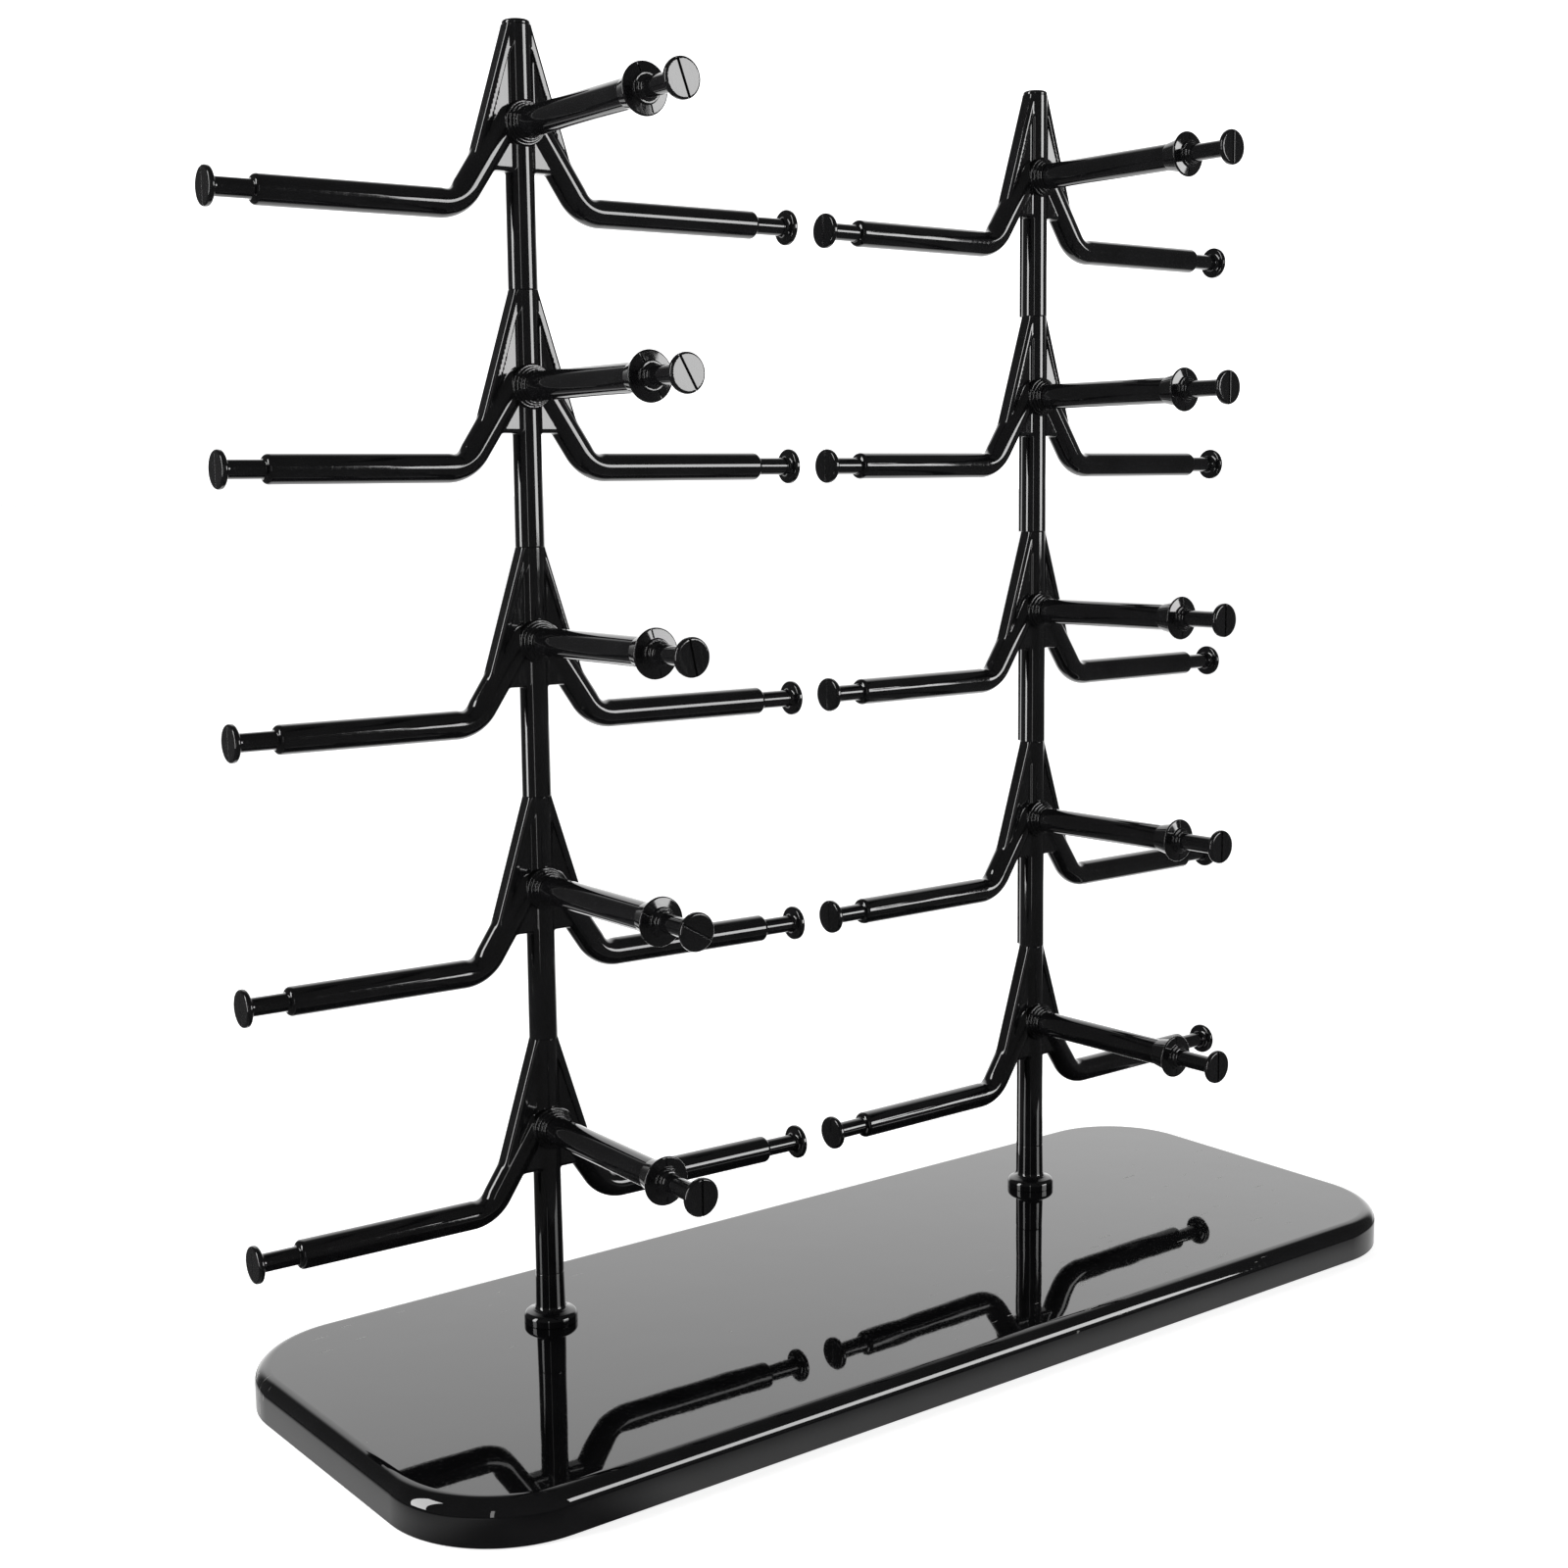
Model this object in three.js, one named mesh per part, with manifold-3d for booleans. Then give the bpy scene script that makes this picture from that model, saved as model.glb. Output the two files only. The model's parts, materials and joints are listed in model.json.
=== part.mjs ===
// Eyeglasses display stand: two columns of five plug-together tiers on a moulded base.
// Millimetres, +Z up, -Y is the front. The origin is the centre of the base, on the ground.
// Each tier is one moulding with two arms for the temples, and a round peg for the bridge.

import * as THREE from 'three';
import { mergeVertices } from 'three/addons/utils/BufferGeometryUtils.js';
import Module from 'manifold-3d';

const wasm = await Module();
wasm.setup();

// Driving dimensions of the columns. Cutters reach CUT_PAST beyond the face they open.
const TIERS = 5;
const TIER_PITCH = 80;
const LOWEST_ARM_Z = 56.2;
const POST_X = 110.35;
const POST_Y = 31;
const COLUMN_TURN = THREE.MathUtils.degToRad(1.62);
const FIT_GAP = 0.3;
const CUT_PAST = 1;
const WELD_DISTANCE = 1e-5;
const ROUND_SIDES = 12;
const TUBE_SIDES = 8;

// Tier moulding: the tapered post, its rear rib and the A-shaped plate.
// Heights are above the arms' axis.
const POST_TOP_RADIUS = 4.45;
const POST_BOTTOM_RADIUS = 4.7;
const SEAM_ABOVE_ARM = 55;
const RIB_WIDTH = 4.4;
const RIB_BACK = 6;
const RIB_TOP = 33;
const RIB_RUNOUT = 4;
const PLATE_THICKNESS = 6.1;
const PLATE_BOTTOM = 10.7;
const PLATE_BOTTOM_HALF = 9.2;
const LEG_FOOT = [16.4, 16.5];
const LEG_HEAD = [4.5, 54];
const LEG_WIDTH = 2.6;
const POCKET_DEPTH = 0.5;
const POCKET_HEAD = 46;
const POCKET_FOOT = 21;

// Arms: sloping down from the hub, bent level, then a shoulder, a neck and an end disk
const ARM_RADIUS = 4.6;
const ARM_SLOPE = THREE.MathUtils.degToRad(56);
const ARM_BEND_RADIUS = 12;
const ARM_CORNER = 22.04;
const ARM_SLOPE_LENGTH = 31.4;
const ARM_BEND_STEPS = 3;
const ARM_SHOULDER = 86.7;
const ARM_TIP = 103;
const NECK_RADIUS = 2.9;
const DISK_RADIUS = 5.9;
const DISK_THICKNESS = 1.9;
const EDGE = 0.5;
const SHOULDER_LENGTH = 1.5;

// Pegs and the stepped hubs that hold them. Distances are forward of the post's axis.
const PEG_ABOVE_ARM = 25.2;
const HUB_BACK = 2.5;
const HUB_RINGS = [[6.9, 5.2], [6.2, 6.2], [5.5, 7.2], [4.9, 8.2]];
const PEG_RADIUS = 4.6;
const PEG_START = 8.5;
const FLARE_START = 66;
const FLARE_RADIUS = 6.2;
const COLLAR_RADIUS = 7.65;
const COLLAR_BACK = 73.1;
const COLLAR_RIM = 73.9;
const COLLAR_FRONT = 74.4;
const COLLAR_STEPS = [[4.5, 75.2], [3.6, 76.1]];
const PEG_TIP = 93.7;
const SLOT_WIDTH = 0.6;
const SLOT_DEPTH = 0.5;
const SPIGOT_RADIUS = 2.3;
const SOCKET_RADIUS = SPIGOT_RADIUS + FIT_GAP;
const SPIGOT_LENGTH = 8;
const PEG_SPIGOT_END = -0.7;

// How far each peg is turned in its hub, from the top tier down
const PEG_ROLLS = { left: [20, 30, 12, 60, 0], right: [0, 0, 0, 0, 0] };

// Top caps close the uppermost sockets
const CAP_RADIUS = 4.45;
const CAP_TOP = 56.5;
const CAP_EDGE = 0.9;

// Column feet: a flange on the base, a short tapered post, and a tenon into the base's boss
const FLANGE_RADIUS = 8.9;
const FLANGE_HEIGHT = 4.7;
const FLANGE_EDGE = 1.2;
const FOOT_POST_RADIUS = 5;
const FOOT_FILLET = 1.5;
const TENON_RADIUS = 3.8;
const TENON_BOTTOM = 5.75;

// Base: a moulding that is open below, with its top edge rounded
const BASE_LENGTH = 415.5;
const BASE_DEPTH = 158.4;
const BASE_TOP = 14.1;
const BASE_CORNER = 37.4;
const BASE_EDGE_RADIUS = 5;
const BASE_EDGE_STEPS = 3;
const BASE_CORNER_STEPS = 6;
const SKIRT_BOTTOM = 0.5;
const WALL = 3;
const RIB_THICKNESS = 2.5;
const RIB_BOTTOM = 4;
const BOSS_RADIUS = 7.5;
const BOSS_BOTTOM = 3.5;
const BOSS_FLOOR = 2;
const SCREW_CLEARANCE = 1.75;

// Foot pads on studs inside the skirt
const PAD_X = 172;
const PAD_Y = 46;
const PAD_RADIUS = 6;
const PAD_THICKNESS = 2.5;
const STUD_RADIUS = 8;

// Column screws, driven from below
const SCREW_RADIUS = 1.3;
const SCREW_TOP = 12.5;
const SCREW_HEAD_RADIUS = 3.3;
const SCREW_HEAD_HEIGHT = 2;
const SCREW_RECESS = [0.8, 3.6, 1];
const PILOT_RADIUS = SCREW_RADIUS + FIT_GAP;
const PILOT_TOP = 13.2;

// Materials
const blackPlastic = { color: 0x0b0b0c, roughness: 0.12, metalness: 0 };
const basePlastic = { color: 0x09090a, roughness: 0.06, metalness: 0 };
const blackRubber = { color: 0x1c1c1c, roughness: 0.85, metalness: 0 };
const zincSteel = { color: 0x9a9c9e, roughness: 0.35, metalness: 1 };

// Solids ----------------------------------------------------------------------

// A closed three.js geometry as a solid that can be joined and cut.
function solid(geometry) {
  const bare = geometry.clone();
  bare.deleteAttribute('normal');
  bare.deleteAttribute('uv');
  const merged = mergeVertices(bare, WELD_DISTANCE);
  const index = merged.index.array;
  const faces = [];
  for (let i = 0; i < index.length; i += 3) {
    const [a, b, c] = [index[i], index[i + 1], index[i + 2]];
    if (a !== b && b !== c && c !== a) faces.push(a, b, c);
  }
  const mesh = new wasm.Mesh({
    numProp: 3,
    vertProperties: new Float32Array(merged.attributes.position.array),
    triVerts: new Uint32Array(faces),
  });
  mesh.merge();
  return new wasm.Manifold(mesh);
}

// A joined or cut solid back as a three.js geometry.
function geometryOf(manifold) {
  const { vertProperties, triVerts } = manifold.getMesh();
  const geometry = new THREE.BufferGeometry();
  geometry.setAttribute('position', new THREE.BufferAttribute(vertProperties, 3));
  geometry.setIndex(new THREE.BufferAttribute(triVerts, 1));
  geometry.computeVertexNormals();
  return geometry;
}

function joined(...geometries) {
  return geometries.map(solid).reduce((whole, piece) => whole.add(piece));
}

function named(name, geometry, finish) {
  const mesh = new THREE.Mesh(geometry, new THREE.MeshStandardMaterial(finish));
  mesh.name = name;
  return mesh;
}

// A solid of revolution about +Z from [radius, height] points, lowest first, axis to axis.
function turned(points, sides = ROUND_SIDES) {
  const profile = points.map(([radius, height]) => new THREE.Vector2(radius, height));
  return new THREE.LatheGeometry(profile, sides).rotateX(Math.PI / 2);
}

function rod(radius, bottom, top, sides = ROUND_SIDES) {
  return turned([[0, bottom], [radius, bottom], [radius, top], [0, top]], sides);
}

function block(low, high) {
  const [x, y, z] = high.map((value, axis) => value - low[axis]);
  const centre = high.map((value, axis) => (value + low[axis]) / 2);
  return new THREE.BoxGeometry(x, y, z).translate(...centre);
}

// A prism with its outline in the X-Z plane, from the front at yFront to the back at yBack.
function prism(outline, yFront, yBack) {
  const shape = new THREE.Shape(outline.map(([x, z]) => new THREE.Vector2(x, z)));
  const depth = yBack - yFront;
  return new THREE.ExtrudeGeometry(shape, { depth, bevelEnabled: false })
    .rotateX(Math.PI / 2)
    .translate(0, yBack, 0);
}

// A piece made about +Z, laid forward along -Y at a height.
function laidForward(geometry, height) {
  return geometry.rotateX(Math.PI / 2).translate(0, 0, height);
}

// Tier mouldings --------------------------------------------------------------

const bendTangent = ARM_BEND_RADIUS * Math.tan(ARM_SLOPE / 2);
const bendStart = ARM_SLOPE_LENGTH - bendTangent;
const bendEnd = bendStart + ARM_BEND_RADIUS * ARM_SLOPE;
const alongLevel = (reach) => bendEnd + reach - (ARM_CORNER + bendTangent);

// Where the arm's axis is, and how steeply it falls, at a distance along it from the hub.
function armRoute(distance) {
  if (distance <= bendStart) {
    const left = ARM_SLOPE_LENGTH - distance;
    const x = ARM_CORNER - left * Math.cos(ARM_SLOPE);
    return { x, z: left * Math.sin(ARM_SLOPE), fall: ARM_SLOPE };
  }
  if (distance >= bendEnd) {
    return { x: ARM_CORNER + bendTangent + distance - bendEnd, z: 0, fall: 0 };
  }
  const fall = (bendEnd - distance) / ARM_BEND_RADIUS;
  const x = ARM_CORNER + bendTangent - ARM_BEND_RADIUS * Math.sin(fall);
  return { x, z: ARM_BEND_RADIUS * (1 - Math.cos(fall)), fall };
}

// The profile of an end disk whose outer face is at tip, on a neck.
function neckAndDisk(tip) {
  const back = tip - DISK_THICKNESS;
  return [
    [NECK_RADIUS, back - EDGE],
    [DISK_RADIUS - EDGE, back],
    [DISK_RADIUS, back + EDGE],
    [DISK_RADIUS, tip - EDGE],
    [DISK_RADIUS - EDGE, tip],
    [0, tip],
  ];
}

// One arm: a turned spindle, bent to follow the route. Side is 1 for +X and -1 for -X.
function arm(side) {
  const bendPoints = [];
  for (let step = 0; step <= ARM_BEND_STEPS; step++) {
    const distance = bendStart + ((bendEnd - bendStart) * step) / ARM_BEND_STEPS;
    bendPoints.push([ARM_RADIUS, distance]);
  }
  const profile = [
    [0, 0],
    [ARM_RADIUS, 0],
    ...bendPoints,
    [ARM_RADIUS, alongLevel(ARM_SHOULDER)],
    [NECK_RADIUS, alongLevel(ARM_SHOULDER + SHOULDER_LENGTH)],
    ...neckAndDisk(alongLevel(ARM_TIP)),
  ];
  const geometry = turned(profile, TUBE_SIDES);
  const points = geometry.attributes.position;
  for (let i = 0; i < points.count; i++) {
    const { x, z, fall } = armRoute(points.getZ(i));
    const across = points.getX(i);
    points.setXYZ(i, x - across * Math.sin(fall), points.getY(i), z - across * Math.cos(fall));
  }
  return side > 0 ? geometry : geometry.rotateZ(Math.PI);
}

function plateOutline() {
  const [footX, footZ] = LEG_FOOT;
  const [headX, headZ] = LEG_HEAD;
  return [
    [-PLATE_BOTTOM_HALF, PLATE_BOTTOM],
    [PLATE_BOTTOM_HALF, PLATE_BOTTOM],
    [footX, footZ],
    [headX, headZ],
    [-headX, headZ],
    [-footX, footZ],
  ];
}

// The shallow recess between a leg and the post, on one side of the plate.
function pocketOutline(side) {
  const [footX, footZ] = LEG_FOOT;
  const [headX, headZ] = LEG_HEAD;
  const taper = (headX - footX) / (headZ - footZ);
  const legInside = (z) => footX + taper * (z - footZ) - LEG_WIDTH;
  const corners = [
    [0, POCKET_FOOT],
    [side * legInside(POCKET_FOOT), POCKET_FOOT],
    [side * legInside(POCKET_HEAD), POCKET_HEAD],
    [0, POCKET_HEAD],
  ];
  return side > 0 ? corners : corners.reverse();
}

function pockets() {
  const half = PLATE_THICKNESS / 2;
  const pieces = [];
  for (const side of [-1, 1]) {
    const outline = pocketOutline(side);
    pieces.push(prism(outline, -half - CUT_PAST, -half + POCKET_DEPTH));
    pieces.push(prism(outline, half - POCKET_DEPTH, half + CUT_PAST));
  }
  return joined(...pieces);
}

// The rib down the back of a post, run out into the post at its top.
function rearRib(bottom, top) {
  const side = new THREE.Shape([
    new THREE.Vector2(0, bottom),
    new THREE.Vector2(RIB_BACK, bottom),
    new THREE.Vector2(RIB_BACK, top - RIB_RUNOUT),
    new THREE.Vector2(0, top),
  ]);
  return new THREE.ExtrudeGeometry(side, { depth: RIB_WIDTH, bevelEnabled: false })
    .rotateX(Math.PI / 2)
    .rotateZ(Math.PI / 2)
    .translate(-RIB_WIDTH / 2, 0, 0);
}

function hub() {
  const profile = [[0, HUB_BACK]];
  let from = HUB_BACK;
  for (const [radius, front] of HUB_RINGS) {
    profile.push([radius, from], [radius, front]);
    from = front;
  }
  profile.push([0, from]);
  return laidForward(turned(profile), PEG_ABOVE_ARM);
}

// One tier, with its arms' axis at height 0. The spigot below fits the socket of the next one.
function tierFrame() {
  const bottom = SEAM_ABOVE_ARM - TIER_PITCH + FIT_GAP / 2;
  const top = SEAM_ABOVE_ARM - FIT_GAP / 2;
  const half = PLATE_THICKNESS / 2;
  const plate = solid(prism(plateOutline(), -half, half)).subtract(pockets());
  const hubFront = HUB_RINGS.at(-1)[1];
  const pegSocket = rod(SOCKET_RADIUS, PEG_SPIGOT_END - FIT_GAP, hubFront + CUT_PAST, TUBE_SIDES);
  const topSocket = rod(SOCKET_RADIUS, top - SPIGOT_LENGTH - FIT_GAP, top + CUT_PAST, TUBE_SIDES);
  const body = joined(
    turned([[0, bottom], [POST_BOTTOM_RADIUS, bottom], [POST_TOP_RADIUS, top], [0, top]]),
    rearRib(bottom, RIB_TOP),
    hub(),
    arm(-1),
    arm(1),
    rod(SPIGOT_RADIUS, bottom - SPIGOT_LENGTH, bottom + CUT_PAST, TUBE_SIDES),
  );
  return geometryOf(
    body
      .add(plate)
      .subtract(solid(laidForward(pegSocket, PEG_ABOVE_ARM)))
      .subtract(solid(topSocket)),
  );
}

// Pegs ------------------------------------------------------------------------

// A peg along +Z from the post's axis: spigot, tube, flared collar, neck and slotted disk.
function pegBlank() {
  return turned([
    [0, PEG_SPIGOT_END],
    [SPIGOT_RADIUS, PEG_SPIGOT_END],
    [SPIGOT_RADIUS, PEG_START],
    [PEG_RADIUS, PEG_START],
    [PEG_RADIUS, FLARE_START],
    [FLARE_RADIUS, COLLAR_BACK],
    [COLLAR_RADIUS, COLLAR_BACK],
    [COLLAR_RADIUS, COLLAR_RIM],
    [COLLAR_STEPS[0][0], COLLAR_FRONT],
    ...COLLAR_STEPS,
    [NECK_RADIUS, COLLAR_STEPS[1][1]],
    ...neckAndDisk(PEG_TIP),
  ], TUBE_SIDES);
}

function peg() {
  const slot = block(
    [-SLOT_WIDTH / 2, -2 * DISK_RADIUS, PEG_TIP - SLOT_DEPTH],
    [SLOT_WIDTH / 2, 2 * DISK_RADIUS, PEG_TIP + CUT_PAST],
  );
  return geometryOf(solid(pegBlank()).subtract(solid(slot)));
}

// Caps, feet and screws -------------------------------------------------------

function topCap() {
  const seat = SEAM_ABOVE_ARM + FIT_GAP / 2;
  return turned([
    [0, seat - SPIGOT_LENGTH],
    [SPIGOT_RADIUS, seat - SPIGOT_LENGTH],
    [SPIGOT_RADIUS, seat],
    [CAP_RADIUS, seat],
    [CAP_RADIUS, CAP_TOP - CAP_EDGE],
    [CAP_RADIUS - CAP_EDGE / 3, CAP_TOP - CAP_EDGE / 3],
    [CAP_RADIUS - CAP_EDGE, CAP_TOP],
    [0, CAP_TOP],
  ]);
}

function columnFoot() {
  const seat = BASE_TOP + FIT_GAP;
  const top = LOWEST_ARM_Z + SEAM_ABOVE_ARM - TIER_PITCH - FIT_GAP / 2;
  const flangeTop = BASE_TOP + FLANGE_HEIGHT;
  const body = turned([
    [0, TENON_BOTTOM],
    [TENON_RADIUS, TENON_BOTTOM],
    [TENON_RADIUS, seat],
    [FLANGE_RADIUS - FLANGE_EDGE / 2, seat],
    [FLANGE_RADIUS, seat + FLANGE_EDGE / 2],
    [FLANGE_RADIUS, flangeTop - FLANGE_EDGE],
    [FLANGE_RADIUS - FLANGE_EDGE, flangeTop],
    [FOOT_POST_RADIUS + FOOT_FILLET, flangeTop],
    [FOOT_POST_RADIUS, flangeTop + FOOT_FILLET],
    [POST_BOTTOM_RADIUS, top],
    [0, top],
  ]);
  const rib = rearRib(seat + EDGE, top + RIB_RUNOUT);
  const overTop = top + RIB_RUNOUT + CUT_PAST;
  const socket = rod(SOCKET_RADIUS, top - SPIGOT_LENGTH - FIT_GAP, overTop);
  const pilot = rod(PILOT_RADIUS, TENON_BOTTOM - CUT_PAST, PILOT_TOP, TUBE_SIDES);
  const above = block(
    [-FLANGE_RADIUS, -FLANGE_RADIUS, top], [FLANGE_RADIUS, FLANGE_RADIUS, overTop],
  );
  return geometryOf(
    joined(body, rib)
      .subtract(solid(above))
      .subtract(solid(socket))
      .subtract(solid(pilot)),
  );
}

// A pan-head screw, head down, with a cross recess.
function columnScrew() {
  const headBottom = BOSS_BOTTOM - SCREW_HEAD_HEIGHT;
  const blank = turned([
    [0, headBottom],
    [SCREW_HEAD_RADIUS - EDGE, headBottom],
    [SCREW_HEAD_RADIUS, headBottom + EDGE],
    [SCREW_HEAD_RADIUS, BOSS_BOTTOM],
    [SCREW_RADIUS, BOSS_BOTTOM],
    [SCREW_RADIUS, SCREW_TOP - SCREW_RADIUS],
    [0, SCREW_TOP],
  ], TUBE_SIDES);
  const [width, length, depth] = SCREW_RECESS;
  const bar = (x, y) => block(
    [-x / 2, -y / 2, headBottom - CUT_PAST], [x / 2, y / 2, headBottom + depth],
  );
  return geometryOf(solid(blank).subtract(joined(bar(width, length), bar(length, width))));
}

function footPad() {
  return turned([
    [0, 0],
    [PAD_RADIUS - EDGE, 0],
    [PAD_RADIUS, EDGE],
    [PAD_RADIUS, PAD_THICKNESS],
    [0, PAD_THICKNESS],
  ]);
}

// Base ------------------------------------------------------------------------

function roundedRectangle(length, depth, corner) {
  const [x, y] = [length / 2, depth / 2];
  const shape = new THREE.Shape();
  shape.moveTo(x, -y + corner);
  shape.absarc(x - corner, y - corner, corner, 0, Math.PI / 2);
  shape.absarc(-x + corner, y - corner, corner, Math.PI / 2, Math.PI);
  shape.absarc(-x + corner, -y + corner, corner, Math.PI, 1.5 * Math.PI);
  shape.absarc(x - corner, -y + corner, corner, 1.5 * Math.PI, 2 * Math.PI);
  return shape;
}

// The outside of the base: a slab with a rounded top edge, cut off square below.
function baseOutside() {
  const inset = 2 * BASE_EDGE_RADIUS;
  const outline = roundedRectangle(
    BASE_LENGTH - inset, BASE_DEPTH - inset, BASE_CORNER - BASE_EDGE_RADIUS,
  );
  const slab = new THREE.ExtrudeGeometry(outline, {
    depth: BASE_TOP,
    bevelThickness: BASE_EDGE_RADIUS,
    bevelSize: BASE_EDGE_RADIUS,
    bevelSegments: BASE_EDGE_STEPS,
    curveSegments: BASE_CORNER_STEPS,
  }).translate(0, 0, -BASE_EDGE_RADIUS);
  const below = block(
    [-BASE_LENGTH, -BASE_DEPTH, -BASE_TOP], [BASE_LENGTH, BASE_DEPTH, SKIRT_BOTTOM],
  );
  return solid(slab).subtract(solid(below));
}

function baseHollow() {
  const outline = roundedRectangle(
    BASE_LENGTH - 2 * WALL, BASE_DEPTH - 2 * WALL, BASE_CORNER - WALL,
  );
  return solid(new THREE.ExtrudeGeometry(outline, {
    depth: BASE_TOP - WALL + CUT_PAST,
    bevelEnabled: false,
    curveSegments: BASE_CORNER_STEPS,
  }).translate(0, 0, -CUT_PAST));
}

// Stiffening ribs, column bosses and pad studs under the top.
function baseUnderside() {
  const top = BASE_TOP - WALL / 2;
  const [x, y] = [BASE_LENGTH / 2 - WALL / 2, BASE_DEPTH / 2 - WALL / 2];
  const t = RIB_THICKNESS / 2;
  const pieces = [block([-t, -y, RIB_BOTTOM], [t, y, top])];
  for (const side of [-1, 1]) {
    const column = side * POST_X;
    pieces.push(rod(BOSS_RADIUS, BOSS_BOTTOM, top).translate(column, POST_Y, 0));
    pieces.push(block([column - t, POST_Y, RIB_BOTTOM], [column + t, y, top]));
    for (const end of [-1, 1]) {
      pieces.push(rod(STUD_RADIUS, PAD_THICKNESS, top).translate(side * PAD_X, end * PAD_Y, 0));
    }
  }
  return joined(...pieces);
}

function baseShell() {
  let shell = baseOutside().subtract(baseHollow()).add(baseUnderside());
  for (const side of [-1, 1]) {
    const floor = BOSS_BOTTOM + BOSS_FLOOR;
    const tenonHole = rod(TENON_RADIUS + FIT_GAP, floor, BASE_TOP + CUT_PAST);
    const screwHole = rod(SCREW_CLEARANCE, BOSS_BOTTOM - CUT_PAST, BASE_TOP, TUBE_SIDES);
    shell = shell
      .subtract(solid(tenonHole.translate(side * POST_X, POST_Y, 0)))
      .subtract(solid(screwHole.translate(side * POST_X, POST_Y, 0)));
  }
  return geometryOf(shell);
}

// Assembly --------------------------------------------------------------------

function column(sideName, side) {
  const group = new THREE.Group();
  group.position.set(side * POST_X, POST_Y, 0);
  group.rotation.z = side * COLUMN_TURN;
  group.add(named(`column_foot_${sideName}`, columnFoot(), blackPlastic));
  for (let tier = 1; tier <= TIERS; tier++) {
    const armZ = LOWEST_ARM_Z + (TIERS - tier) * TIER_PITCH;
    const frame = named(`tier_frame_${sideName}_${tier}`, tierFrame(), blackPlastic);
    frame.position.z = armZ;
    group.add(frame);
    const roll = THREE.MathUtils.degToRad(PEG_ROLLS[sideName][tier - 1]);
    const pin = named(`peg_${sideName}_${tier}`, peg(), blackPlastic);
    pin.position.z = armZ + PEG_ABOVE_ARM;
    pin.rotation.set(Math.PI / 2, 0, roll);
    group.add(pin);
  }
  const cap = named(`top_cap_${sideName}`, topCap(), blackPlastic);
  cap.position.z = LOWEST_ARM_Z + (TIERS - 1) * TIER_PITCH;
  group.add(cap);
  return group;
}

function base() {
  const group = new THREE.Group();
  group.add(named('base_shell', baseShell(), basePlastic));
  for (const [sideName, side] of [['left', -1], ['right', 1]]) {
    const screw = named(`column_screw_${sideName}`, columnScrew(), zincSteel);
    screw.position.set(side * POST_X, POST_Y, 0);
    group.add(screw);
    for (const [endName, end] of [['front', -1], ['rear', 1]]) {
      const pad = named(`foot_pad_${endName}_${sideName}`, footPad(), blackRubber);
      pad.position.set(side * PAD_X, end * PAD_Y, 0);
      group.add(pad);
    }
  }
  return group;
}

const stand = new THREE.Group();
stand.add(base(), column('left', -1), column('right', 1));

export default stand;
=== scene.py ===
import json
import math

import bmesh
import bpy
import numpy as np
from mathutils import Matrix, Vector


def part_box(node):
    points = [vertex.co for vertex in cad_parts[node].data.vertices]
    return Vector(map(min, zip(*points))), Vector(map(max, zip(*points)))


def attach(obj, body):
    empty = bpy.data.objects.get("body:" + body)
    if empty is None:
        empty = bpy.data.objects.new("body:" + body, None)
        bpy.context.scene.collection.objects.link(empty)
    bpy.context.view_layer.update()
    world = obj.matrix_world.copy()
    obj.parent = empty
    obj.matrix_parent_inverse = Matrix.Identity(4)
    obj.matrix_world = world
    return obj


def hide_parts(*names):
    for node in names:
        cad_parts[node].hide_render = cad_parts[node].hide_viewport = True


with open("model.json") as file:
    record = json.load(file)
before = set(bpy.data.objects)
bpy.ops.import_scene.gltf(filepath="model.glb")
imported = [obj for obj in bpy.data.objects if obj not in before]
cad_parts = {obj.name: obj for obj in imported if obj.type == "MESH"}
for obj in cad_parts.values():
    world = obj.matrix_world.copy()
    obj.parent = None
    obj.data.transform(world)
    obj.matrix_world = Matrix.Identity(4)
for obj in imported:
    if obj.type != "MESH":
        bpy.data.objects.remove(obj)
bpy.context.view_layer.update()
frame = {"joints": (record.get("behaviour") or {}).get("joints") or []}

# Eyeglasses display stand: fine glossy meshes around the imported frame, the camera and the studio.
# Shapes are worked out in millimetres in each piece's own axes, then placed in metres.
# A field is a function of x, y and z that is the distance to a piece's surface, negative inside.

MM = 0.001
JOINTS = {joint["child"]: joint for joint in frame["joints"]}
SIDES = ("left", "right")
ENDS = ("front", "rear")
TIERS = range(1, 6)
ROOT_BODY = "stand"

# Shared small sizes, in millimetres. Cutters reach CUT_PAST beyond the face they open, and
# pieces of one moulding run JOIN_OVERLAP into each other.
CUT_PAST = 2.0
JOIN_OVERLAP = 1.0
PIN_EDGE = 0.3
RIB_FILLET = 0.5
GROOVE_EDGE = 0.1
FIT_GAP = 0.3
BUTT_GAP = 0.05

# Tier mouldings, in millimetres. Heights are above the arms' axis, as in the CAD.
PEG_ABOVE_ARM = 25.2
SEAM_TOP = 55.0
SEAM_BOTTOM = -25.0
POST_TOP_RADIUS = 4.45
POST_BOTTOM_RADIUS = 4.7
SEAM_EDGE = 0.22
RIB_HALF_WIDTH = 2.2
RIB_BACK = 6.0
RIB_TOP = 31.0
RIB_EDGE = 0.8
RIB_RUNOUT = 4.0
RIB_RUNOUT_SLOPE = 0.6
PLATE_HALF = 3.05
PLATE_EDGE = 1.3
PLATE_BOTTOM = 10.7
PLATE_FILLET = 0.7
LEG_FOOT = (16.4, 16.5)
LEG_HEAD = (4.5, 54.0)
LEG_WIDTH = 2.7
POCKET_DEPTH = 0.55
POCKET_SLOPE = 0.07
POCKET_MIDDLE = 7.5
POCKET_BOTTOM = 21.5
POCKET_EDGE = 0.35
ARM_RADIUS = 4.6
ARM_SLOPE = math.radians(56)
ARM_BEND_RADIUS = 12.0
ARM_CORNER = 22.04
ARM_SLOPE_LENGTH = 31.4
INNER_TIGHTNESS = 0.11
ARM_SHOULDER = 88.2
ARM_FILLET = 0.45
SHOULDER_EDGE = 1.5
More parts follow.
